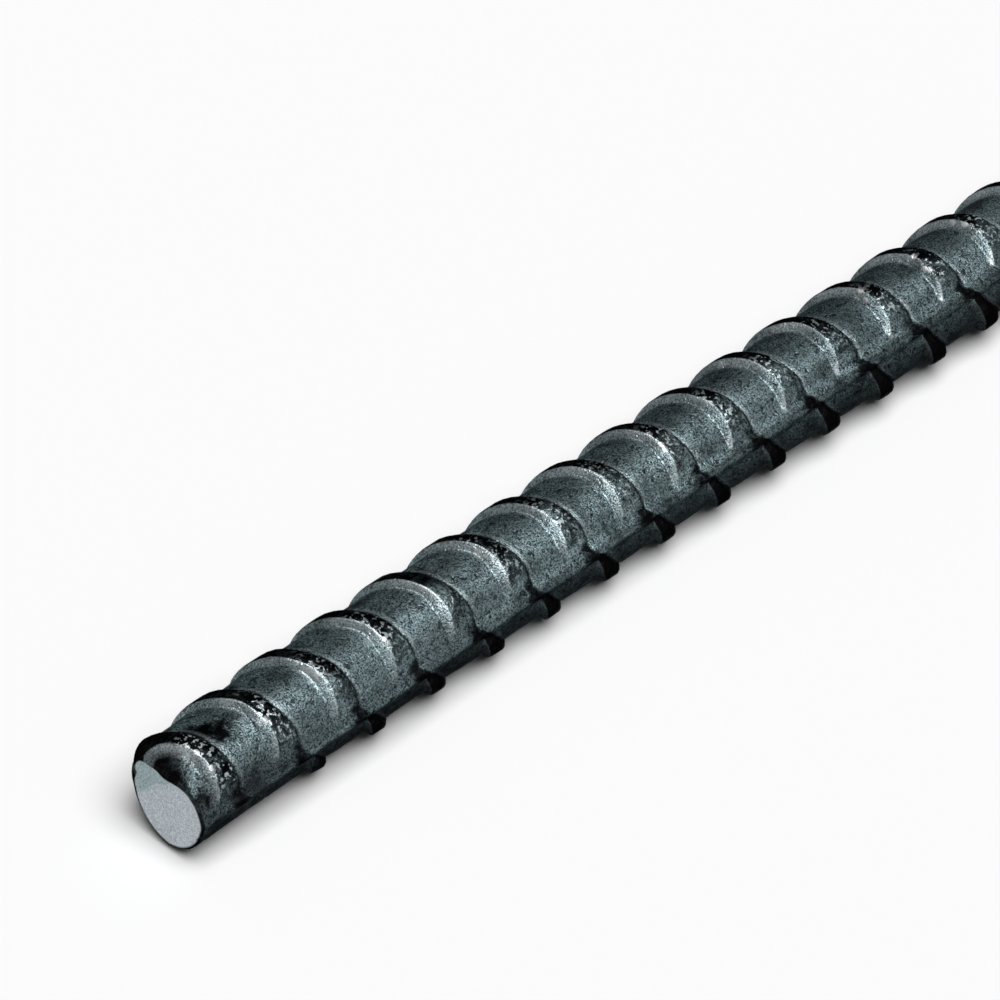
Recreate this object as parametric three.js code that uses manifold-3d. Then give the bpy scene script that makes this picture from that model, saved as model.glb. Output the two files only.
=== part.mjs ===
// Deformed steel reinforcing bar of the half-inch size: a two-foot length of one rolled bar.
// It lies along X with its origin on its axis at mid-length, +Z up, in millimetres.
// The bar is one piece of steel: a round core, two lengthwise ribs that turn slowly round it, and two
// sheared ends. The low cross ribs between the lengthwise ones are surface relief, and not in this solid.
import * as THREE from "three";
import { mergeVertices } from "three/addons/utils/BufferGeometryUtils.js";
import Module from "manifold-3d";

const { degToRad, lerp, smoothstep } = THREE.MathUtils;
const wasm = await Module();
wasm.setup();

// Driving dimensions, in millimetres and degrees.
const barLength = 609.6;
const coreDiameter = 12.25; // the round between the ribs
const ribHeight = 0.7; // lengthwise rib, above the core
const ribCrestWidth = 1.2; // top of the rib, from side to side
const ribEdgeBreak = 0.2; // worn corner of the crest, across and down
const ribFlankRun = 0.45; // sideways run of the flank, from the crest down to the root fillet
const ribFilletRise = 0.15; // height of the root fillet above the core
const ribFilletRun = 0.5; // its sideways run, out on to the core
const ribRootDepth = 1; // how far the rib's root reaches into the core that it is rolled from
const twistAngle = degToRad(-45); // turn of the ribs about +X, so the one on -Y climbs ...
const twistLength = 270; // ... over this much of the bar from its -X end, straight after it
const bladeAngle = degToRad(100); // the side the shear blade came from, from +Y up towards +Z
const rollOverLength = 3; // the skin is drawn down on that side over this length at each cut ...
const rollOverDepth = 2.4; // ... and by this much at the cut face
const rollOverFocus = 4.5; // power of the cosine by which this fades round the bar
const squeezeAngle = degToRad(-8); // the side that lay against the shear's stop
const squeezeLength = 1.7; // the skin is squeezed flat on that side over this length at each cut ...
const squeezeDepth = 1.6; // ... and by this much at the cut face
const ribPressedLength = 9; // the blades press the lengthwise ribs low over this length at each cut ...
const ribPressedShare = 0.3; // ... down to this share of their height at the cut face

// How finely the round forms are divided.
const coreSides = 20;
const twistSteps = 16;
const rollOverSteps = 6;
const pressedSteps = 3;

const coreRadius = coreDiameter / 2;

// The core's round. Its flats are centred on the sides, the top and the bottom, so it lies on a flat.
function coreSection() {
  const sideAngle = (2 * Math.PI) / coreSides;
  const corners = Array.from({ length: coreSides }, (_, side) => {
    const angle = (side + 0.5) * sideAngle;
    return new THREE.Vector2(coreRadius * Math.cos(angle), coreRadius * Math.sin(angle));
  });
  return new THREE.Shape(corners);
}

// Outline of a lengthwise rib that stands out along +X, with its root inside the core.
function ribSection() {
  const top = coreRadius + ribHeight;
  const crestHalf = ribCrestWidth / 2;
  const footHalf = crestHalf + ribFlankRun;
  const filletHalf = footHalf + ribFilletRun;
  const filletEnd = Math.sqrt(coreRadius ** 2 - filletHalf ** 2);
  const side = [
    [coreRadius - ribRootDepth, footHalf],
    [filletEnd, filletHalf],
    [coreRadius + ribFilletRise, footHalf],
    [top - ribEdgeBreak, crestHalf],
    [top, crestHalf - ribEdgeBreak],
  ];
  const otherSide = side.map(([out, across]) => [out, -across]);
  const outline = [...otherSide, ...side.toReversed()];
  return new THREE.Shape(outline.map(([out, across]) => new THREE.Vector2(out, across)));
}

// Distances in from a cut at which the skin changes direction, from the face inwards: close together where
// it rolls over, then wider apart to the end of the pressed ribs.
function endStations() {
  const rolled = Array.from({ length: rollOverSteps + 1 }, (_, step) => {
    const quarterTurn = ((step / rollOverSteps) * Math.PI) / 2;
    return rollOverLength * (1 - Math.cos(quarterTurn));
  });
  const pressed = Array.from({ length: pressedSteps }, (_, step) => {
    return lerp(rollOverLength, ribPressedLength, (step + 1) / pressedSteps);
  });
  return [...rolled, ...pressed];
}

// Places along the bar, from its -X end, with those of the two cuts round the given middle ones.
function stationsWith(middle) {
  const nearCut = endStations();
  const farCut = nearCut.toReversed().map((inset) => barLength - inset);
  return [...nearCut, ...middle, ...farCut];
}

// Turn of the ribs about the bar at a distance from the -X end: quick at first, then easing to none.
function ribTurn(along) {
  const eased = Math.sin((Math.PI / 2) * Math.min(along / twistLength, 1));
  return twistAngle * eased;
}

// How far the shear has moved the skin inwards, at a distance from the nearer cut and an angle from +Y.
function sinkAt(inset, angle) {
  const toFace = Math.max(1 - inset / rollOverLength, 0);
  const bladeSide = Math.max(Math.cos(angle - bladeAngle), 0) ** rollOverFocus;
  const rollOver = rollOverDepth * (1 - Math.sqrt(1 - toFace ** 2)) * bladeSide;
  const stopSide = Math.max(Math.cos(angle - squeezeAngle), 0);
  const squeeze = squeezeDepth * Math.max(1 - inset / squeezeLength, 0) * stopSide;
  return rollOver + squeeze;
}

// Share of their height that the lengthwise ribs keep, at a distance from the nearer cut.
function ribShareAt(inset) {
  return lerp(ribPressedShare, 1, smoothstep(inset, 0, ribPressedLength));
}

// A section drawn along the bar as a solid: it is extruded one layer for each station. Each layer is then
// moved to its station and turned there. Near the cuts what stands above the core is pressed low, and the
// skin sinks inwards.
function rolledAlong(shape, stations, turnAt) {
  const steps = stations.length - 1;
  const extruded = new THREE.ExtrudeGeometry(shape, { depth: steps, steps, bevelEnabled: false });
  const centre = new THREE.Vector2();
  const positions = extruded.getAttribute("position");
  for (let i = 0; i < positions.count; i++) {
    const along = stations[Math.round(positions.getZ(i))];
    const inset = Math.min(along, barLength - along);
    const point = new THREE.Vector2(positions.getX(i), positions.getY(i));
    point.rotateAround(centre, turnAt(along));
    if (point.length() > coreRadius) {
      point.setLength(lerp(coreRadius, point.length(), ribShareAt(inset)));
    }
    point.setLength(point.length() - sinkAt(inset, point.angle()));
    positions.setXYZ(i, along - barLength / 2, point.x, point.y);
  }
  extruded.deleteAttribute("normal");
  extruded.deleteAttribute("uv");
  const closed = mergeVertices(extruded);
  return new wasm.Manifold(
    new wasm.Mesh({
      numProp: 3,
      vertProperties: closed.getAttribute("position").array,
      triVerts: new Uint32Array(closed.index.array),
    }),
  );
}

// The core runs straight, and each lengthwise rib winds round it, starting level on its own side.
function barSolid() {
  const core = rolledAlong(coreSection(), stationsWith([]), () => 0);
  const twisted = Array.from({ length: twistSteps }, (_, step) => {
    return lerp(ribPressedLength, twistLength, (step + 1) / twistSteps);
  });
  const ribStations = stationsWith(twisted);
  const ribs = [0, Math.PI].map((side) => {
    return rolledAlong(ribSection(), ribStations, (along) => side + ribTurn(along));
  });
  return ribs.reduce((bar, rib) => bar.add(rib), core);
}

function geometryOf(solid) {
  const mesh = solid.getMesh();
  const geometry = new THREE.BufferGeometry();
  geometry.setAttribute("position", new THREE.BufferAttribute(mesh.vertProperties, 3));
  geometry.setIndex(new THREE.BufferAttribute(mesh.triVerts, 1));
  geometry.computeVertexNormals();
  return geometry;
}

// Hot-rolled steel under its dark blue-grey mill scale.
const millScaledSteel = new THREE.MeshStandardMaterial({
  color: 0x454d50,
  roughness: 0.55,
  metalness: 0.85,
});

const rebar = new THREE.Mesh(geometryOf(barSolid()), millScaledSteel);
rebar.name = "rebar";

const part = new THREE.Group();
part.add(rebar);

export default part;
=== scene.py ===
import math
from types import SimpleNamespace

import bmesh
import bpy
from mathutils import Matrix, Vector, noise


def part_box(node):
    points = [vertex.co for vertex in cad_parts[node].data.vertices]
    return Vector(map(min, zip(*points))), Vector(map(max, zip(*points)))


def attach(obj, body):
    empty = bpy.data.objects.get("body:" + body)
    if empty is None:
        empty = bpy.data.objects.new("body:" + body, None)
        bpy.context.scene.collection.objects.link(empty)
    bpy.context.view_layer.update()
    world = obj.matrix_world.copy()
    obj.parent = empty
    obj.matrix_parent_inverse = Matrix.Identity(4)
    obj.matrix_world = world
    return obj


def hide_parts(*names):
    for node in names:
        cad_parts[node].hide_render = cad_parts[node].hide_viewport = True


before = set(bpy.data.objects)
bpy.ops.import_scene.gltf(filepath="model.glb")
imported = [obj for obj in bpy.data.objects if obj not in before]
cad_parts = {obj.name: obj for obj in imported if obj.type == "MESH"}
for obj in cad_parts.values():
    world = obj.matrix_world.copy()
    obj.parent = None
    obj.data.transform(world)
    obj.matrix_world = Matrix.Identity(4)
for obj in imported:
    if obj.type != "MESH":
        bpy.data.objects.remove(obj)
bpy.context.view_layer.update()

# The rolled bar
# One piece of hot-rolled steel. Two grooved rolls press it out of a hot round: each leaves its half with
# slanting crescent ribs, and where the rolls meet, the steel stands up as two lengthwise ribs.
MM = 0.001
DEG = math.radians(1)
bar_low, bar_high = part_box("rebar")
BAR_LENGTH = bar_high.x - bar_low.x
CORE_RADIUS = 6.125 * MM

# The lengthwise ribs start level at the near cut and wind round the bar, quickly at first, then not at all.
LONG_RIB_RISE = 0.7 * MM
LONG_RIB_HALF = 0.4 * MM
LONG_RIB_FLANK = 1.6 * MM
TURN_ANGLE = 45 * DEG
TURN_LENGTH = 270 * MM

# A cross rib sweeps round its half of the bar. The places of its crest and of its far foot along the bar
# are each a sum of a steady part, a sine, a cosine and a threefold cosine of the angle round that half.
RIB_PITCH = 8.78 * MM
RIB_RISE = 0.93 * MM
RIB_CREST = [-0.19 * MM, 2.12 * MM, 2.44 * MM, -0.18 * MM]
RIB_FAR_FOOT = [2.09 * MM, 2.64 * MM, 3.09 * MM, 0.36 * MM]
CROSSING = 8 * DEG
RIB_TAPER = (-4 * DEG, 24 * DEG)
RIB_FULLNESS = 0.55

# Its near flank is steep high on the bar and an easy ramp lower down, and shorter towards the rib's tips.
STEEP_RUN = 0.5 * MM
EASY_RUN = 1.25 * MM
EASY_TO_STEEP = (48 * DEG, 74 * DEG)
SHARPER_SHARE = 0.88
TIP_RUN_SHARE = 0.35
FLANK_BULGE = 0.15
LIP_SHARE = 0.9

# Its top rises a little behind the lip, then a shoulder rolls off to the far foot, sooner on mid-rib.
CROWN_OUT = 0.2
SHOULDER_FROM = 0.72
MID_SHOULDER_FROM = 0.45
SHOULDER_SPREAD = (5 * DEG, 40 * DEG)
SHOULDER_POWER = 1.8

# A crease runs along the far foot. Where two ribs cross, the higher one wins, with a small fillet.
CREASE_DEPTH = 0.1 * MM
CREASE_RUN = 0.4 * MM
CREASE_FULLNESS = 0.3
CROSSING_POWER = 4

# The shear's lower blade has pressed the bar's underside smooth, and the lengthwise ribs low, next to a cut.
PRESSED_SMOOTH = (13 * MM, 19 * MM)
RIB_PRESSED_OVER = 9 * MM
RIB_PRESSED_SHARE = 0.3

# Worn roll grooves and scale pressed into the skin leave it uneven, and the ribs' lips a little wavy.
UNEVEN_DEPTH = 0.09 * MM
UNEVEN_SIZE = 3.5 * MM
LIP_WAVE = 0.22 * MM
LIP_WAVE_SIZE = 2.6 * MM
DENT_DEPTH = 0.3 * MM
DENT_SIZE = 2.2 * MM
DENT_FROM = 0.42

# The near end of the bar is weathered and mottled. Further along, the bar is crisper and cleaner.
WEATHERED = (40 * MM, 90 * MM)

# How finely the skin is divided: rows for each rib and the panel after it, and columns round the bar. Rows
# crowd towards the edges of the rib's top and of the panel, and columns towards the lengthwise ribs.
NEAR_ROWS = 5
TOP_ROWS = 8
CREASE_ROWS = 2
PANEL_ROWS = 6
ROWS = NEAR_ROWS + TOP_ROWS + CREASE_ROWS + PANEL_ROWS
ROW_STEP = RIB_PITCH / ROWS
TOP_CROWDING = 0.1
PANEL_CROWDING = 0.12
CORNER = 0.12 * MM
COLUMNS = 64
COLUMN_CROWDING = 0.25
SEAM_TOLERANCE = 0.001
SPARE_RIBS = 2
MERGE_DISTANCE = 0.01 * MM


def clamp(value, low=0, high=1):
    return min(max(value, low), high)


def mix(start, end, share):
    return start + (end - start) * share


def ease(value, start, end):
    """0 up to the start, 1 from the end on, and a smooth climb between them."""
    share = clamp((value - start) / (end - start))
    return share * share * (3 - 2 * share)


def lumps(size, along, angle):
    """Smooth noise over the round of the bar, from -1 to 1, with lumps of one size."""
    place = Vector((along, CORE_RADIUS * math.cos(angle), CORE_RADIUS * math.sin(angle)))
    return noise.noise(place / size)


def rib_turn(along):
    return TURN_ANGLE * math.sin(math.pi / 2 * clamp(along / TURN_LENGTH))


def sweep(weights, angle):
    steady, sine, cosine, threefold = weights
    return steady + sine * math.sin(angle) + cosine * math.cos(angle) + threefold * math.cos(3 * angle)


def swept(weights, half_turn):
    """Place along the bar of a line of the rib, which cuts straight over the lengthwise ribs."""
    inside = clamp(half_turn, CROSSING, math.pi - CROSSING)
    first, last = sweep(weights, CROSSING), sweep(weights, math.pi - CROSSING)
    slope = (first - RIB_PITCH - last) / (2 * CROSSING)
    return sweep(weights, inside) + slope * (half_turn - inside)


def long_rib(across):
    down = max(across - LONG_RIB_HALF, 0) / LONG_RIB_FLANK
    return LONG_RIB_RISE * (1 - min(down, 1)) ** 2


def row_place(step, crest, near_run, hollow, top_run, shoulder_from):
    """Place of a row and the height of the rib there, as a share of its full rise."""
    if step < NEAR_ROWS:
        up = step / NEAR_ROWS
        return crest - near_run * (1 - up), LIP_SHARE * up**hollow
    step -= NEAR_ROWS
    if step < TOP_ROWS:
        out = step / TOP_ROWS
        out -= TOP_CROWDING * math.sin(2 * math.pi * out)
        shoulder = max((out - shoulder_from) / (1 - shoulder_from), 0)
        crown = 1 - (1 - LIP_SHARE) * max(1 - out / CROWN_OUT, 0) ** 2
        return crest + top_run * out, crown * (1 - shoulder**SHOULDER_POWER)
    step -= TOP_ROWS
    foot = crest + top_run
    if step < CREASE_ROWS:
        return foot + CREASE_RUN * step / CREASE_ROWS, 0
    step -= CREASE_ROWS
    panel = RIB_PITCH - top_run - near_run - CREASE_RUN - CORNER
    out = step / (PANEL_ROWS - 1)
    out -= PANEL_CROWDING * math.sin(2 * math.pi * out)
    return foot + CREASE_RUN + panel * out, 0


def press_out(vert):
    """Move a point of the spun blank on to the rolled skin, and return its place in the rib pattern."""
    round_bar = math.atan2(vert.co.z, -vert.co.y) % (2 * math.pi)
    if round_bar > 2 * math.pi - SEAM_TOLERANCE:
        round_bar = 0
    row = round((vert.co.x - bar_low.x + RIB_PITCH * round_bar / math.pi) / ROW_STEP)
    turn = round_bar - COLUMN_CROWDING * math.sin(2 * round_bar)
    half, half_turn = divmod(turn, math.pi)
    rib, step = divmod(row, ROWS)
    weathered = 1 - ease(rib * RIB_PITCH, *WEATHERED)

    # The rib's lines at this angle round the bar, and the row's place among them.
    crest = swept(RIB_CREST, half_turn)
    top_run = swept(RIB_FAR_FOOT, half_turn) - crest
    crescent = math.sin(clamp(half_turn, 0, math.pi))
    easy = 1 - ease(half_turn, *EASY_TO_STEEP)
    easy_run = EASY_RUN * mix(SHARPER_SHARE, 1, weathered)
    near_run = mix(STEEP_RUN, easy_run, easy) * mix(TIP_RUN_SHARE, 1, crescent)
    crest += LIP_WAVE * crescent * lumps(LIP_WAVE_SIZE, rib * RIB_PITCH, turn)
    mid_rib = 1 - ease(abs(half_turn - math.pi / 2), *SHOULDER_SPREAD)
    shoulder_from = mix(SHOULDER_FROM, MID_SHOULDER_FROM, mid_rib)
    place, share = row_place(step, crest, near_run, 1 - FLANK_BULGE * easy, top_run, shoulder_from)
    along = (rib - half) * RIB_PITCH + place
    inset = clamp(min(along, BAR_LENGTH - along), 0, BAR_LENGTH)
    past_crest = place - crest
    past_foot = (past_crest - top_run) / CREASE_RUN

    # How far the skin stands out of the core there.
    kept = ease(inset, *PRESSED_SMOOTH) if half else 1
    from_end = min(half_turn, math.pi - half_turn)
    across = from_end * CORE_RADIUS
    cross = RIB_RISE * crescent**RIB_FULLNESS * ease(from_end, *RIB_TAPER) * share * kept
    ridge = long_rib(across) * mix(RIB_PRESSED_SHARE, 1, ease(inset, 0, RIB_PRESSED_OVER))
    rise = (cross**CROSSING_POWER + ridge**CROSSING_POWER) ** (1 / CROSSING_POWER)
    rise -= CREASE_DEPTH * max(1 - abs(past_foot), 0) ** 2 * crescent**CREASE_FULLNESS
    rise += UNEVEN_DEPTH * lumps(UNEVEN_SIZE, along, turn)
    rise -= DENT_DEPTH * max(lumps(DENT_SIZE, along + BAR_LENGTH, turn) - DENT_FROM, 0)
    radius = CORE_RADIUS + rise
    angle = turn + rib_turn(along)
    vert.co = (bar_low.x + along, -radius * math.cos(angle), radius * math.sin(angle))
    return SimpleNamespace(
        along=along,
        turn=turn,
        half=half,
        half_turn=half_turn,
        rib=rib,
        across=across,
        weathered=weathered,
        crescent=crescent,
        easy=easy,
        near_run=near_run,
        past_crest=past_crest,
        past_foot=past_foot,
        over_top=past_crest / top_run,
        kept=kept,
    )


bar = bmesh.new()
marks = {name: bar.verts.layers.float.new(name) for name in ("black", "painted_highlight", "under", "flecked", "glint")}
blank_start = bar_low.x - SPARE_RIBS * RIB_PITCH
blank_ribs = math.ceil(BAR_LENGTH / RIB_PITCH) + 3 * SPARE_RIBS
tip = bmesh.ops.create_vert(bar, co=(blank_start, -CORE_RADIUS, 0))["vert"][0]
for row in range(blank_ribs * ROWS):
    tip = bmesh.ops.extrude_vert_indiv(bar, verts=[tip])["verts"][0]
    tip.co.x += ROW_STEP
# A line of rows is spun into a two-start helix: round the bar each row runs on into the next rib but one,
# so no line of the mesh cuts across a rib.
bmesh.ops.spin(
    bar,
    geom=bar.verts[:] + bar.edges[:],
    cent=(0, 0, 0),
    axis=(-1, 0, 0),
    dvec=(-2 * RIB_PITCH / COLUMNS, 0, 0),
    angle=2 * math.pi,
    steps=COLUMNS,
    use_merge=False,
)
bmesh.ops.remove_doubles(bar, verts=bar.verts, dist=MERGE_DISTANCE)
spots = [press_out(vert) for vert in bar.verts]

# Mill scale
# The oxide skin that forms on hot-rolled steel as it cools: blue-grey magnetite with a dull metallic sheen,
# fine-grained. Each mark below says how strongly scale, stains, painted shade or painted highlight lie on a
# spot.

# Black: thick scale in spots on the tops of the ribs, a patch at each crossing and stains, and painted shade
# on the rib tops high up, at their backs, on the underside and in the crease.
TOP_SPAN = (0.03, 0.97)
# Painted shade: the rib tops are black above these angles round the half.
BLACK_ABOVE_WEATHERED = 70 * DEG
BLACK_ABOVE_CLEAN = 54 * DEG
BLACK_EDGE = (-2 * DEG, 4 * DEG)
RAGGED_BY = 7 * DEG
RAGGED_SIZE = 1.5 * MM
SPOT_SIZE = 3.5 * MM
SPOT_LEVEL = 0.88
SPOT_DEPTH = 0.9
SPOTS_BEGIN = (14 * DEG, 30 * DEG)
SPOTS_BEGIN_SHARE = 0.6
SPOTS_FILL = (38 * DEG, 60 * DEG)
BACK_OF_TOP = (0.4, 0.75)
BACK_OF_TOP_BELOW = (12 * DEG, 26 * DEG)
BACK_OF_TOP_BLACK = 0.85
# Painted shade: the crease is drawn black.
CREASE_BLACK_SPREAD = 1.1
CREASE_BLACK_FULLNESS = 0.2
# Painted shade by the near cut: how far along the bar it reaches, and how black it makes the underside.
NEAR_END_SHADE_LENGTH = (25 * MM, 65 * MM)
NEAR_END_UNDERSIDE_SHADE = 0.4
# A dark patch lies at the far foot of each cross rib, where it meets the lengthwise rib.
PATCH_PLACE = 5.5 * MM
PATCH_LENGTH = 1.2 * MM
PATCH_ANGLE = 9 * DEG
PATCH_RAGGED = 0.4
PATCH_RAGGED_SIZE = 1.3 * MM
PATCH_EDGE = (0.6, 1.1)
# Stains by the near cut: place along the bar, angle round it, length and width.
STAINS = [
    (5.3 * MM, 85 * DEG, 2.3 * MM, 19 * DEG),
    (8.1 * MM, 80 * DEG, 2.2 * MM, 18 * DEG),
    (6.9 * MM, 70 * DEG, 2.6 * MM, 14 * DEG),
    (1.3 * MM, 28 * DEG, 1.2 * MM, 11 * DEG),
    (4.7 * MM, 36 * DEG, 1.2 * MM, 13 * DEG),
    (2.2 * MM, 88 * DEG, 2.2 * MM, 14 * DEG),
]
STAIN_RAGGED = 0.5
STAIN_RAGGED_SIZE = 0.9 * MM
STAIN_EDGE = (0.55, 1.05)


def on_top(spot):
    return 1.0 if TOP_SPAN[0] < spot.over_top < TOP_SPAN[1] else 0.0


def near_end_shading(spot):
    return 1 - ease(spot.along, *NEAR_END_SHADE_LENGTH)


def top_blackness(spot):
    limit = mix(BLACK_ABOVE_CLEAN, BLACK_ABOVE_WEATHERED, spot.weathered)
    ragged = RAGGED_BY * lumps(RAGGED_SIZE, spot.along, spot.turn)
    # Painted shade: the tops are black high on the bar.
    high_up = ease(spot.half_turn + ragged, limit + BLACK_EDGE[0], limit + BLACK_EDGE[1])
    spotted = clamp(SPOT_LEVEL + SPOT_DEPTH * lumps(SPOT_SIZE, spot.along, spot.turn + spot.half))
    spotted *= mix(ease(spot.half_turn, *SPOTS_FILL), ease(spot.half_turn, *SPOTS_BEGIN), SPOTS_BEGIN_SHARE)
    low_down = 1 - ease(spot.half_turn, *BACK_OF_TOP_BELOW)
    # Painted shade: the back of each top is black low down.
    at_back = BACK_OF_TOP_BLACK * ease(spot.over_top, *BACK_OF_TOP) * low_down
    # Painted shade: on the underside the tops are black all over.
    return on_top(spot) * max(spotted, at_back, high_up, spot.half) * spot.kept


def crossing_patch(spot):
    lengthways = (spot.along % RIB_PITCH - PATCH_PLACE) / PATCH_LENGTH
    away = math.hypot(lengthways, spot.across / (PATCH_ANGLE * CORE_RADIUS))
    return 1 - ease(away + PATCH_RAGGED * lumps(PATCH_RAGGED_SIZE, spot.along, spot.turn), *PATCH_EDGE)


def stained(spot):
    ragged = STAIN_RAGGED * lumps(STAIN_RAGGED_SIZE, spot.along, spot.turn)
    found = 0
    for place, angle, length, width in STAINS:
        away = math.hypot((spot.along - place) / length, (spot.turn - angle) / width)
        found = max(found, 1 - ease(away + ragged, *STAIN_EDGE))
    return found


def blackness(spot):
    # Painted shade in the crease.
    in_crease = max(1 - abs(spot.past_foot) * CREASE_BLACK_SPREAD, 0) * spot.crescent**CREASE_BLACK_FULLNESS
    # Painted shade: the underside is drawn blacker towards the near cut.
    underside = NEAR_END_UNDERSIDE_SHADE * spot.half * near_end_shading(spot)
    return max(top_blackness(spot), in_crease, crossing_patch(spot), stained(spot), underside)


# Painted highlight: pale paint on the near flank up to the lip, most where it is steep near the top of the
# bar, and least behind and underneath.
FLANK_BLUR = 0.45 * MM
LIP_TOLERANCE = 0.01 * MM
LESS_HIGHLIGHT_HIGH = (55 * DEG, 80 * DEG)
LESS_HIGHLIGHT_HIGH_BY = 0.35
LESS_HIGHLIGHT_BEHIND = (95 * DEG, 125 * DEG)
LESS_HIGHLIGHT_BEHIND_BY = 0.5
HIGHLIGHT_PATCH_SIZE = 1.7 * MM
HIGHLIGHT_PATCH_LEVEL = 0.9
HIGHLIGHT_PATCH_DEPTH = 0.7
HIGHLIGHT_PATCH_MOST = 1.2
RAMP_HIGHLIGHT_DIMMED = (14 * DEG, 28 * DEG)
RAMP_DIMMING_CLEAN = 0.92
RAMP_DIMMING_WEATHERED = 0.62
HIGHLIGHT_BEGINS_CLEAN = (6 * DEG, 15 * DEG)
HIGHLIGHT_BEGINS_WEATHERED = (12 * DEG, 34 * DEG)
CREASE_LIP_HIGHLIGHT = 0.2
CREASE_LIP_WIDTH = 0.6
UNDERSIDE_HIGHLIGHT_LOST = 0.85


def flank_climb(spot):
    """1 at the lip, falling to 0 a little beyond the foot of the near flank."""
    ahead = -spot.past_crest if spot.past_crest < LIP_TOLERANCE else RIB_PITCH - spot.past_crest
    return clamp(1 - ahead / (spot.near_run + FLANK_BLUR))


def painted_highlight_at(spot):
    highlight_share = clamp(HIGHLIGHT_PATCH_LEVEL + HIGHLIGHT_PATCH_DEPTH * lumps(HIGHLIGHT_PATCH_SIZE, spot.along, spot.turn), 0, HIGHLIGHT_PATCH_MOST)
    highlight_share *= (
        1
        - LESS_HIGHLIGHT_HIGH_BY * ease(spot.half_turn, *LESS_HIGHLIGHT_HIGH)
        - LESS_HIGHLIGHT_BEHIND_BY * ease(spot.half_turn, *LESS_HIGHLIGHT_BEHIND)
    )
    ramp_dimming = mix(RAMP_DIMMING_CLEAN, RAMP_DIMMING_WEATHERED, spot.weathered)
    highlight_share *= 1 - ramp_dimming * spot.easy * ease(spot.half_turn, *RAMP_HIGHLIGHT_DIMMED)
    flank = flank_climb(spot) ** (1 + spot.easy) * highlight_share
    # Painted highlight: a faint pale line just past the crease.
    crease_lip = CREASE_LIP_HIGHLIGHT * max(1 - abs(spot.past_foot - 1) / CREASE_LIP_WIDTH, 0)
    begins = [mix(*pair, spot.weathered) for pair in zip(HIGHLIGHT_BEGINS_CLEAN, HIGHLIGHT_BEGINS_WEATHERED)]
    return max(flank, crease_lip) * ease(spot.half_turn, *begins) * (1 - UNDERSIDE_HIGHLIGHT_LOST * spot.half)


# Painted shade, brownish-black: on the underside, beside the lengthwise ribs, by the near cut and on the
# top.
UNDERSIDE_SHADE = (0.8, 1)
UNDERSIDE_SPREAD = (1 * MM, 2.4 * MM)
LONG_RIB_SHADE = 0.6
LONG_RIB_SHADE_TO = 12 * DEG
HIGH_SHADE = (58 * DEG, 85 * DEG)
HIGH_SHADE_CLEAN = 0.5
HIGH_SHADE_WEATHERED = 0.15
SIDE_SHADE = 0.2
SIDE_SHADE_BELOW = (20 * DEG, 45 * DEG)
RAMP_SHADE = 0.45
NEAR_END_SHADE = 0.5
NEAR_END_SHADE_BELOW = (10 * DEG, 36 * DEG)
CUT_SHADE = 0.9
CUT_SHADE_BELOW = (20 * DEG, 38 * DEG)
CUT_SHADE_LENGTH = (9 * MM, 20 * MM)
DRAWN_SHADE = 0.75
DRAWN_LENGTH = (1.5 * MM, 4.5 * MM)


def undershade(spot):
    clean = 1 - spot.weathered
    low_side = 1 - ease(spot.half_turn, *SIDE_SHADE_BELOW)
    by_cut = (1 - ease(spot.turn, *CUT_SHADE_BELOW)) * (1 - ease(spot.along, *CUT_SHADE_LENGTH))
    by_long_rib = 1 - ease(spot.across, 0, LONG_RIB_SHADE_TO * CORE_RADIUS)
    return max(
        spot.half * mix(*UNDERSIDE_SHADE, ease(spot.across, *UNDERSIDE_SPREAD)),
        LONG_RIB_SHADE * by_long_rib,
        mix(HIGH_SHADE_CLEAN, HIGH_SHADE_WEATHERED, spot.weathered) * ease(spot.half_turn, *HIGH_SHADE),
        SIDE_SHADE * clean * low_side,
        RAMP_SHADE * spot.easy * clean * flank_climb(spot) * (1 - spot.half),
        NEAR_END_SHADE * near_end_shading(spot) * (1 - ease(spot.turn, *NEAR_END_SHADE_BELOW)),
        CUT_SHADE * by_cut,
        DRAWN_SHADE * (1 - ease(spot.along, *DRAWN_LENGTH)),
    )


# Flecked: painted glints, pale flecks on the black of the rib tops.
FLECKS_BEGIN = (20 * DEG, 40 * DEG)
FLECKS_END_CLEAN = 60 * DEG
FLECKS_END_WEATHERED = 80 * DEG
FLECKS_FADE = 20.05 * DEG
FLECK_LUMP_SIZE = 4 * MM
FLECKS_CLEAN = 0.72
FLECKS_WEATHERED = 0.52


def fleckedness(spot):
    end = mix(FLECKS_END_CLEAN, FLECKS_END_WEATHERED, spot.weathered)
    window = ease(spot.half_turn, *FLECKS_BEGIN) * (1 - ease(spot.half_turn, end, end + FLECKS_FADE))
    level = mix(FLECKS_CLEAN, FLECKS_WEATHERED, spot.weathered)
    amount = clamp(level + lumps(FLECK_LUMP_SIZE, spot.along, spot.turn))
    return on_top(spot) * window * (1 - spot.half) * amount


# Glint: painted glints, white spots along some lips. How rich the first ribs are in them is set rib by rib.
GLINTS_BEGIN = (38 * DEG, 49.46 * DEG)
GLINTS_END = (68.54 * DEG, 80 * DEG)
FIRST_GLINTS = [0.6, 0.4, 0.5, 1.0, 0.5]
GLINT_RIBS = 2.4
GLINT_DEPTH = 2.5
GLINT_LEVEL = 0.2
GLINT_BEFORE_LIP = 0.1 * MM
GLINT_WIDTH = 0.7 * MM


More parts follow.
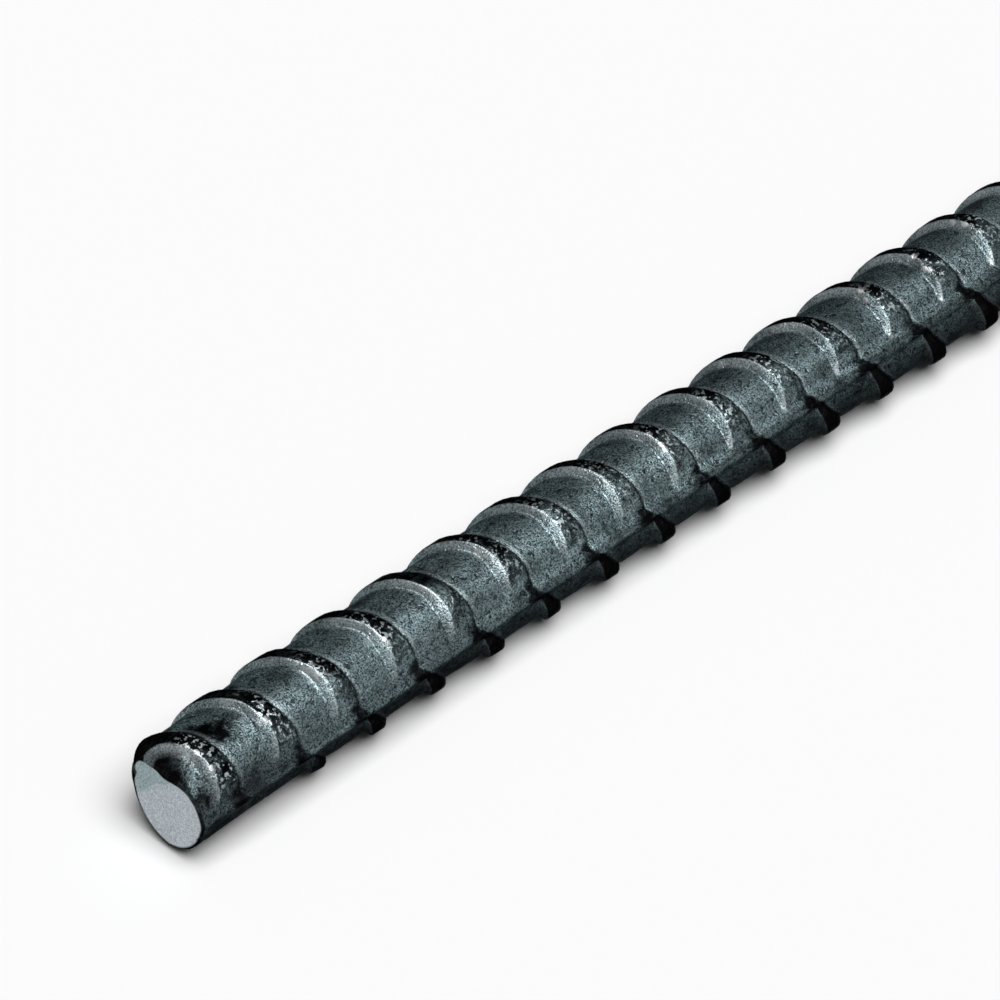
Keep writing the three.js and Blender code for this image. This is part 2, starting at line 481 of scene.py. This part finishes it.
def glinting(spot):
    if 0 <= spot.rib < len(FIRST_GLINTS):
        rich = FIRST_GLINTS[spot.rib]
    else:
        rich = clamp(GLINT_DEPTH * lumps(GLINT_RIBS * RIB_PITCH, spot.rib * RIB_PITCH, 0) + GLINT_LEVEL)
    window = ease(spot.half_turn, *GLINTS_BEGIN) * (1 - ease(spot.half_turn, *GLINTS_END))
    at_lip = max(1 - abs(spot.past_crest + GLINT_BEFORE_LIP) / GLINT_WIDTH, 0)
    return rich * window * at_lip * (1 - spot.half)


for vert, spot in zip(bar.verts, spots):
    vert[marks["black"]] = blackness(spot)
    vert[marks["painted_highlight"]] = painted_highlight_at(spot)
    vert[marks["under"]] = undershade(spot)
    vert[marks["flecked"]] = fleckedness(spot)
    vert[marks["glint"]] = glinting(spot)

# Each pattern: the size of its patches, how much finer detail they hold, and the noise levels between which
# it goes from none to full. The scale's real grain, some hundredths of a millimetre, is too fine to show, so
# it is drawn coarser, at 0.18 mm.
SKIN_PATTERNS = {
    "grain": (0.18 * MM, 5, 0.36, 0.63),
    "smut": (0.55 * MM, 3, 0.5, 0.66),
    "mottle": (0.9 * MM, 4, 0.54, 0.47),
    "flecks": (0.45 * MM, 2, 0.56, 0.61),
    "pits": (0.9 * MM, 2, 0.61, 0.68),
    "scuffs": (2.4 * MM, 4, 0.5, 0.68),
    "blotches": (4.5 * MM, 3, 0.4, 0.6),
}
GLINT_SPOT_SPACING = 1.25 * MM
GLINT_SPOT_EDGE = (0.38, 0.31)
# The scale's darkest grain, then each layer of colour over it: the masks whose product it follows, its
# strength and its colour.
SKIN_COLOUR = "#1a2324"
SKIN_LAYERS = [
    (("grain",), 1.0, "#a7bec3"),
    (("smut",), 0.5, "#283334"),
    (("blotches",), 0.25, "#323d3e"),
    (("scuffs",), 0.55, "#242c2d"),
    (("pits",), 0.7, "#14191b"),
    # Black: dark scale and stains, and painted shade.
    (("black", "black"), 0.92, "#090b0d"),
    (("black", "mottle"), 1.0, "#090b0d"),
    # Painted shade.
    (("under",), 0.8, "#151314"),
    # Painted glints.
    (("flecked", "flecks"), 0.95, "#d4e1e4"),
    # Painted highlight on the near flanks, in two layers.
    (("painted_highlight",), 0.85, "#a0adb1"),
    (("painted_highlight", "grain"), 0.9, "#f0fbfe"),
    # Painted glints.
    (("glint", "glint_spot"), 1.0, "#ffffff"),
]
SCALE_METALLIC = 0.8
SCALE_ROUGHNESS = 0.36
PIT_DEPTH = 0.04 * MM
GRAIN_DEPTH = 0.018 * MM


def linear(code):
    """An sRGB hex colour as Blender's linear red, green, blue and alpha."""
    channels = [int(code[i : i + 2], 16) / 255 for i in (1, 3, 5)]
    return [c / 12.92 if c <= 0.04045 else ((c + 0.055) / 1.055) ** 2.4 for c in channels] + [1]


def add(tree, kind, links=None, **settings):
    """Add a node, with its settings, and with a link or a value for each socket named in links."""
    node = tree.nodes.new(kind)
    for name, value in settings.items():
        setattr(node, name, value)
    for socket, value in (links or {}).items():
        if isinstance(value, bpy.types.NodeSocket):
            tree.links.new(value, node.inputs[socket])
        else:
            node.inputs[socket].default_value = value
    return node


mill_scale = bpy.data.materials.new("mill_scale")
mill_scale.use_nodes = True
tree = mill_scale.node_tree
shader = tree.nodes["Principled BSDF"]
where = add(tree, "ShaderNodeTexCoord").outputs["Object"]
masks = {}
for name, (size, detail, low, high) in SKIN_PATTERNS.items():
    cloud = add(tree, "ShaderNodeTexNoise", {"Vector": where, "Scale": 1 / size, "Detail": detail})
    spread = {"Value": cloud.outputs["Fac"], "From Min": low, "From Max": high}
    masks[name] = add(tree, "ShaderNodeMapRange", spread).outputs["Result"]
for name in marks:
    masks[name] = add(tree, "ShaderNodeAttribute", attribute_name=name).outputs["Fac"]
cells = add(tree, "ShaderNodeTexVoronoi", {"Vector": where, "Scale": 1 / GLINT_SPOT_SPACING})
spread = {"Value": cells.outputs["Distance"], "From Min": GLINT_SPOT_EDGE[0], "From Max": GLINT_SPOT_EDGE[1]}
masks["glint_spot"] = add(tree, "ShaderNodeMapRange", spread).outputs["Result"]
skin = linear(SKIN_COLOUR)
for followed, strength, colour in SKIN_LAYERS:
    share = strength
    for name in followed:
        share = add(tree, "ShaderNodeMath", {0: masks[name], 1: share}, operation="MULTIPLY").outputs[0]
    blend = {"Factor": share, "A": skin, "B": linear(colour)}
    skin = add(tree, "ShaderNodeMix", blend, data_type="RGBA").outputs["Result"]
tree.links.new(skin, shader.inputs["Base Color"])
shader.inputs["Metallic"].default_value = SCALE_METALLIC
shader.inputs["Roughness"].default_value = SCALE_ROUGHNESS
# Dust and oil dull the scale where it is seen edge-on, so it has no clear gloss and a black edge tint.
shader.inputs["Specular Tint"].default_value = (0, 0, 0, 1)
shader.inputs["Specular IOR Level"].default_value = 0
pitted = add(tree, "ShaderNodeBump", {"Height": masks["pits"], "Distance": PIT_DEPTH}, invert=True)
grained = {"Height": masks["grain"], "Distance": GRAIN_DEPTH, "Normal": pitted.outputs["Normal"]}
relief = add(tree, "ShaderNodeBump", grained)
tree.links.new(relief.outputs["Normal"], shader.inputs["Normal"])

# The sheared ends
# The bar is cropped cold between two blades. The upper blade drags the skin down over the cut, and the bar's
# far side is squeezed flat against the shear. The whole section is also pushed down and sideways a little.
LONG_DRAW = 0.35 * MM
LONG_DRAW_LENGTH = 16 * MM
LONG_DRAW_ANGLE = 45 * DEG
ROLL_OVER = 2.4 * MM
ROLL_OVER_LENGTH = 3 * MM
BLADE_ANGLE = 100 * DEG
BLADE_FOCUS = 4.5
SQUEEZE = 1.6 * MM
SQUEEZE_LENGTH = 1.7 * MM
SQUEEZE_ANGLE = -8 * DEG
SQUEEZE_POWER = 1.6
END_SAG = 0.3 * MM
EDGE_BREAK = 0.24 * MM
RIM_LOOPS = [0.2 * MM, 0.4 * MM, 0.8 * MM, 1.4 * MM, 2.1 * MM]
LOOP_TOLERANCE = 0.001 * MM
CUT_TOLERANCE = 0.02 * MM
FACE_RINGS = 8
EDGE_LINE = 0.22 * MM
SHEARED_SLOT = 1
# Painted shade: a black line runs round the cut, wider on the blade's side, and missing at one place.
RIM_BLACK_LENGTH = 0.4 * MM
RIM_BLACK_DRAWN = 1 * MM
RIM_BLACK_FOCUS = 3
RIM_BLACK_LEVEL = 2
RIM_GAP_ANGLE = 145 * DEG
RIM_GAP_FOCUS = 30
RIM_GAP_LOSS = 0.9


def towards(angle):
    return Vector((0, math.cos(angle), math.sin(angle)))


def facing(out, angle, power):
    """1 on the side of the bar at an angle from +Y up towards +Z, falling to 0 a quarter turn away."""
    return clamp(out.dot(towards(angle))) ** power


def to_cut(vert, length):
    """1 at the nearer cut, falling to 0 at a length from it."""
    inset = max(BAR_LENGTH / 2 - abs(vert.co.x), 0)
    return max(1 - inset / length, 0)


def shade_rim(vert):
    out = Vector((0, vert.co.y, vert.co.z)).normalized()
    length = RIM_BLACK_LENGTH + RIM_BLACK_DRAWN * facing(out, BLADE_ANGLE, RIM_BLACK_FOCUS)
    rim_gap = RIM_GAP_LOSS * facing(out, RIM_GAP_ANGLE, RIM_GAP_FOCUS)
    rim = min(to_cut(vert, length) * RIM_BLACK_LEVEL, 1) * (1 - rim_gap)
    vert[marks["black"]] = max(vert[marks["black"]], rim)


def draw_down(vert):
    out = Vector((0, vert.co.y, vert.co.z)) / CORE_RADIUS
    drawn = to_cut(vert, LONG_DRAW_LENGTH)
    rolled_over = 1 - math.sqrt(1 - to_cut(vert, ROLL_OVER_LENGTH) ** 2)
    drop = LONG_DRAW * max(out.dot(towards(LONG_DRAW_ANGLE)), 0) ** 2 * math.sqrt(drawn)
    drop += ROLL_OVER * facing(out, BLADE_ANGLE, BLADE_FOCUS) * rolled_over
    drop += SQUEEZE * max(out.dot(towards(SQUEEZE_ANGLE)), 0) * to_cut(vert, SQUEEZE_LENGTH) ** SQUEEZE_POWER
    drop += EDGE_BREAK * to_cut(vert, RIM_LOOPS[0])
    vert.co -= out.normalized() * drop + towards(LONG_DRAW_ANGLE) * END_SAG * drawn**2


def add_rim_loop(end, inset):
    near_cut = [face for face in bar.faces if end * face.calc_center_median().x > bar_high.x - RIB_PITCH]
    geom = set(near_cut)
    for face in near_cut:
        geom.update(face.edges)
        geom.update(face.verts)
    bmesh.ops.bisect_plane(
        bar,
        geom=list(geom),
        dist=LOOP_TOLERANCE,
        plane_co=(end * (BAR_LENGTH / 2 - inset), 0, 0),
        plane_no=(end, 0, 0),
    )


def cut_off(end):
    cut = bmesh.ops.bisect_plane(
        bar,
        geom=bar.verts[:] + bar.edges[:] + bar.faces[:],
        dist=CUT_TOLERANCE,
        plane_co=(end * BAR_LENGTH / 2, 0, 0),
        plane_no=(end, 0, 0),
        clear_outer=True,
    )["geom_cut"]
    for part in cut:
        if isinstance(part, bmesh.types.BMVert):
            part.co.x = end * BAR_LENGTH / 2


def close_face(end):
    """Close a cut with rings that shrink to its centre: a narrow one along the edge, then even ones."""
    face_centre = Vector((end * BAR_LENGTH / 2, 0, 0))
    ring = [edge for edge in bar.edges if len(edge.link_faces) == 1 and edge.verts[0].co.x * end > 0]
    for edge in ring:
        edge.smooth = False
    even = [(left - 1) / left for left in range(FACE_RINGS + 1, 1, -1)]
    for shrink in [1 - EDGE_LINE / CORE_RADIUS, *even]:
        grown = bmesh.ops.extrude_edge_only(bar, edges=ring)["geom"]
        inner = [part for part in grown if isinstance(part, bmesh.types.BMVert)]
        for vert in inner:
            vert[marks["black"]] = 0
        for part in grown:
            if isinstance(part, bmesh.types.BMFace):
                part.material_index = SHEARED_SLOT
        edges = [part for part in grown if isinstance(part, bmesh.types.BMEdge)]
        ring = [edge for edge in edges if set(inner).issuperset(edge.verts)]
        to_centre = Matrix.Translation(-face_centre)
        bmesh.ops.scale(bar, vec=(1, shrink, shrink), space=to_centre, verts=inner)
    bmesh.ops.pointmerge(bar, verts=inner, merge_co=face_centre)


for end in (-1, 1):
    for inset in RIM_LOOPS:
        add_rim_loop(end, inset)
for end in (-1, 1):
    cut_off(end)
for vert in bar.verts:
    shade_rim(vert)
    draw_down(vert)
for end in (-1, 1):
    close_face(end)
bmesh.ops.recalc_face_normals(bar, faces=bar.faces)
for face in bar.faces:
    face.smooth = True

# Sheared steel: bare steel, burnished smooth and greener next to the blade, then torn into a fine dull grey
# grain that scatters the light. The real grain is too fine to show, so it is drawn coarser, at 0.18 mm.
BURNISH_ANGLE = 49 * DEG
BURNISH_EDGE = (1.6 * MM, 2.4 * MM)
BURNISH_RAGGED = 1.6 * MM
FACE_PATTERNS = {
    "grain": (0.18 * MM, 3, 0.36, 0.64),
    "ragged": (1.5 * MM, 3, 0, 1),
}
TORN_COLOURS = ("#9ba3a9", "#ced6dc")
BURNISHED_COLOURS = ("#7a8c90", "#aec0c3")
RIM_COLOUR = "#0e1112"
RIM_STRENGTH = 0.9
SHEARED_METALLIC = 0.5
SHEARED_ROUGHNESS = 0.6

sheared_steel = bpy.data.materials.new("sheared_steel")
sheared_steel.use_nodes = True
tree = sheared_steel.node_tree
shader = tree.nodes["Principled BSDF"]
where = add(tree, "ShaderNodeTexCoord").outputs["Object"]
masks = {}
for name, (size, detail, low, high) in FACE_PATTERNS.items():
    cloud = add(tree, "ShaderNodeTexNoise", {"Vector": where, "Scale": 1 / size, "Detail": detail})
    spread = {"Value": cloud.outputs["Fac"], "From Min": low, "From Max": high}
    masks[name] = add(tree, "ShaderNodeMapRange", spread).outputs["Result"]
turned = add(tree, "ShaderNodeMapping", {"Vector": where, "Rotation": (-BURNISH_ANGLE, 0, 0)})
depth = add(tree, "ShaderNodeSeparateXYZ", {"Vector": turned.outputs["Vector"]}).outputs["Y"]
line = {0: masks["ragged"], 1: BURNISH_RAGGED, 2: depth}
edge = add(tree, "ShaderNodeMath", line, operation="MULTIPLY_ADD").outputs[0]
spread = {"Value": edge, "From Min": BURNISH_EDGE[0], "From Max": BURNISH_EDGE[1]}
near_blade = add(tree, "ShaderNodeMapRange", spread).outputs["Result"]
finishes = []
for dark, pale in (TORN_COLOURS, BURNISHED_COLOURS):
    blend = {"Factor": masks["grain"], "A": linear(dark), "B": linear(pale)}
    finishes.append(add(tree, "ShaderNodeMix", blend, data_type="RGBA").outputs["Result"])
blend = {"Factor": near_blade, "A": finishes[0], "B": finishes[1]}
cut_skin = add(tree, "ShaderNodeMix", blend, data_type="RGBA").outputs["Result"]
black = add(tree, "ShaderNodeAttribute", attribute_name="black").outputs["Fac"]
# Painted shade: the black line along the edge of the cut face.
rim = add(tree, "ShaderNodeMath", {0: black, 1: RIM_STRENGTH}, operation="MULTIPLY").outputs[0]
blend = {"Factor": rim, "A": cut_skin, "B": linear(RIM_COLOUR)}
cut_skin = add(tree, "ShaderNodeMix", blend, data_type="RGBA").outputs["Result"]
tree.links.new(cut_skin, shader.inputs["Base Color"])
shader.inputs["Metallic"].default_value = SHEARED_METALLIC
shader.inputs["Roughness"].default_value = SHEARED_ROUGHNESS

mesh = bpy.data.meshes.new("deformed_bar")
bar.to_mesh(mesh)
bar.free()
mesh.materials.append(mill_scale)
mesh.materials.append(sheared_steel)
deformed_bar = bpy.data.objects.new("deformed_bar", mesh)
bpy.context.scene.collection.objects.link(deformed_bar)
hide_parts("rebar")
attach(deformed_bar, "root")

# The floor
# A wide sheet of matt white paper. The bar lies on the crests of its cross ribs, so the paper is level with
# the lowest of them.
FLOOR_SIDE = 200.0
PAPER_COLOUR = "#f6f6f6"

floor_form = bmesh.new()
bmesh.ops.create_grid(floor_form, x_segments=1, y_segments=1, size=FLOOR_SIDE / 2)
lowest = min(vert.co.z for vert in mesh.vertices)
bmesh.ops.translate(floor_form, vec=(0, 0, lowest), verts=floor_form.verts)
floor_mesh = bpy.data.meshes.new("floor")
floor_form.to_mesh(floor_mesh)
floor_form.free()
floor = bpy.data.objects.new("floor", floor_mesh)
bpy.context.scene.collection.objects.link(floor)
white_paper = bpy.data.materials.new("white_paper")
white_paper.use_nodes = True
paper_shader = white_paper.node_tree.nodes["Principled BSDF"]
paper_shader.inputs["Base Color"].default_value = linear(PAPER_COLOUR)
paper_shader.inputs["Roughness"].default_value = 1.0
paper_shader.inputs["Specular IOR Level"].default_value = 0.0
floor_mesh.materials.append(white_paper)

# The room
# A dim studio, with a white backdrop that stands along the horizon. The backdrop is only seen, reflected or
# seen through: it sheds no light of its own on the bar.
BACKDROP_TOP = (4 * DEG, 10 * DEG)
BACKDROP_LEVEL = 1.0
ROOM_LEVEL = 0.055

world = bpy.data.worlds.new("studio")
world.use_nodes = True
tree = world.node_tree
direction = add(tree, "ShaderNodeTexCoord").outputs["Generated"]
height = add(tree, "ShaderNodeSeparateXYZ", {"Vector": direction}).outputs["Z"]
paling = {
    "Value": height,
    "From Min": math.sin(BACKDROP_TOP[0]),
    "From Max": math.sin(BACKDROP_TOP[1]),
    "To Min": BACKDROP_LEVEL,
    "To Max": ROOM_LEVEL,
}
backdrop = add(tree, "ShaderNodeMapRange", paling).outputs["Result"]
rays = add(tree, "ShaderNodeLightPath").outputs
seen = rays["Is Camera Ray"]
for kind in ("Is Glossy Ray", "Is Transmission Ray"):
    seen = add(tree, "ShaderNodeMath", {0: seen, 1: rays[kind]}, operation="MAXIMUM").outputs[0]
level = add(tree, "ShaderNodeMix", {"Factor": seen, "A": ROOM_LEVEL, "B": backdrop}).outputs["Result"]
tree.nodes["Background"].inputs["Color"].default_value = (1, 1, 1, 1)
tree.links.new(level, tree.nodes["Background"].inputs["Strength"])
bpy.context.scene.world = world

# The key lamp
# One wide soft lamp, high on the near side. Its strength is the one at which the white paper comes out
# nearly white without clipping.
LAMP_AZIMUTH = -15 * DEG
LAMP_HEIGHT = 67 * DEG
LAMP_WIDTH = 46 * DEG
LAMP_STRENGTH = 3.4


def direction_to(azimuth, height):
    """Direction out from the bar: azimuth 0 is -Y, 90 degrees is +X, and height is above the floor."""
    level = math.cos(height)
    return Vector((math.sin(azimuth) * level, -math.cos(azimuth) * level, math.sin(height)))


key_light = bpy.data.lights.new("key_lamp", "SUN")
key_light.angle = LAMP_WIDTH
key_light.energy = LAMP_STRENGTH
key_lamp = bpy.data.objects.new("key_lamp", key_light)
key_lamp.rotation_mode = "QUATERNION"
key_lamp.rotation_quaternion = direction_to(LAMP_AZIMUTH, LAMP_HEIGHT).to_track_quat("Z", "Y")
bpy.context.scene.collection.objects.link(key_lamp)

# The camera
# A long lens that looks down on the near end, so the cut face and the first fifteen ribs fill the picture
# and the rest of the bar runs out of it.
CAMERA_AZIMUTH = -44.8 * DEG
CAMERA_HEIGHT = 40.6 * DEG
CAMERA_DISTANCE = 0.762
CAMERA_LENS = 250.7
CAMERA_AIM = Vector((-0.2505, 0.0038, 0.0062))

camera = bpy.data.objects.new("camera", bpy.data.cameras.new("camera"))
camera.data.lens = CAMERA_LENS
back = direction_to(CAMERA_AZIMUTH, CAMERA_HEIGHT)
camera.location = CAMERA_AIM + back * CAMERA_DISTANCE
camera.rotation_mode = "QUATERNION"
camera.rotation_quaternion = back.to_track_quat("Z", "Y")
bpy.context.scene.collection.objects.link(camera)
bpy.context.scene.camera = camera
bpy.context.scene.view_settings.view_transform = "Standard"
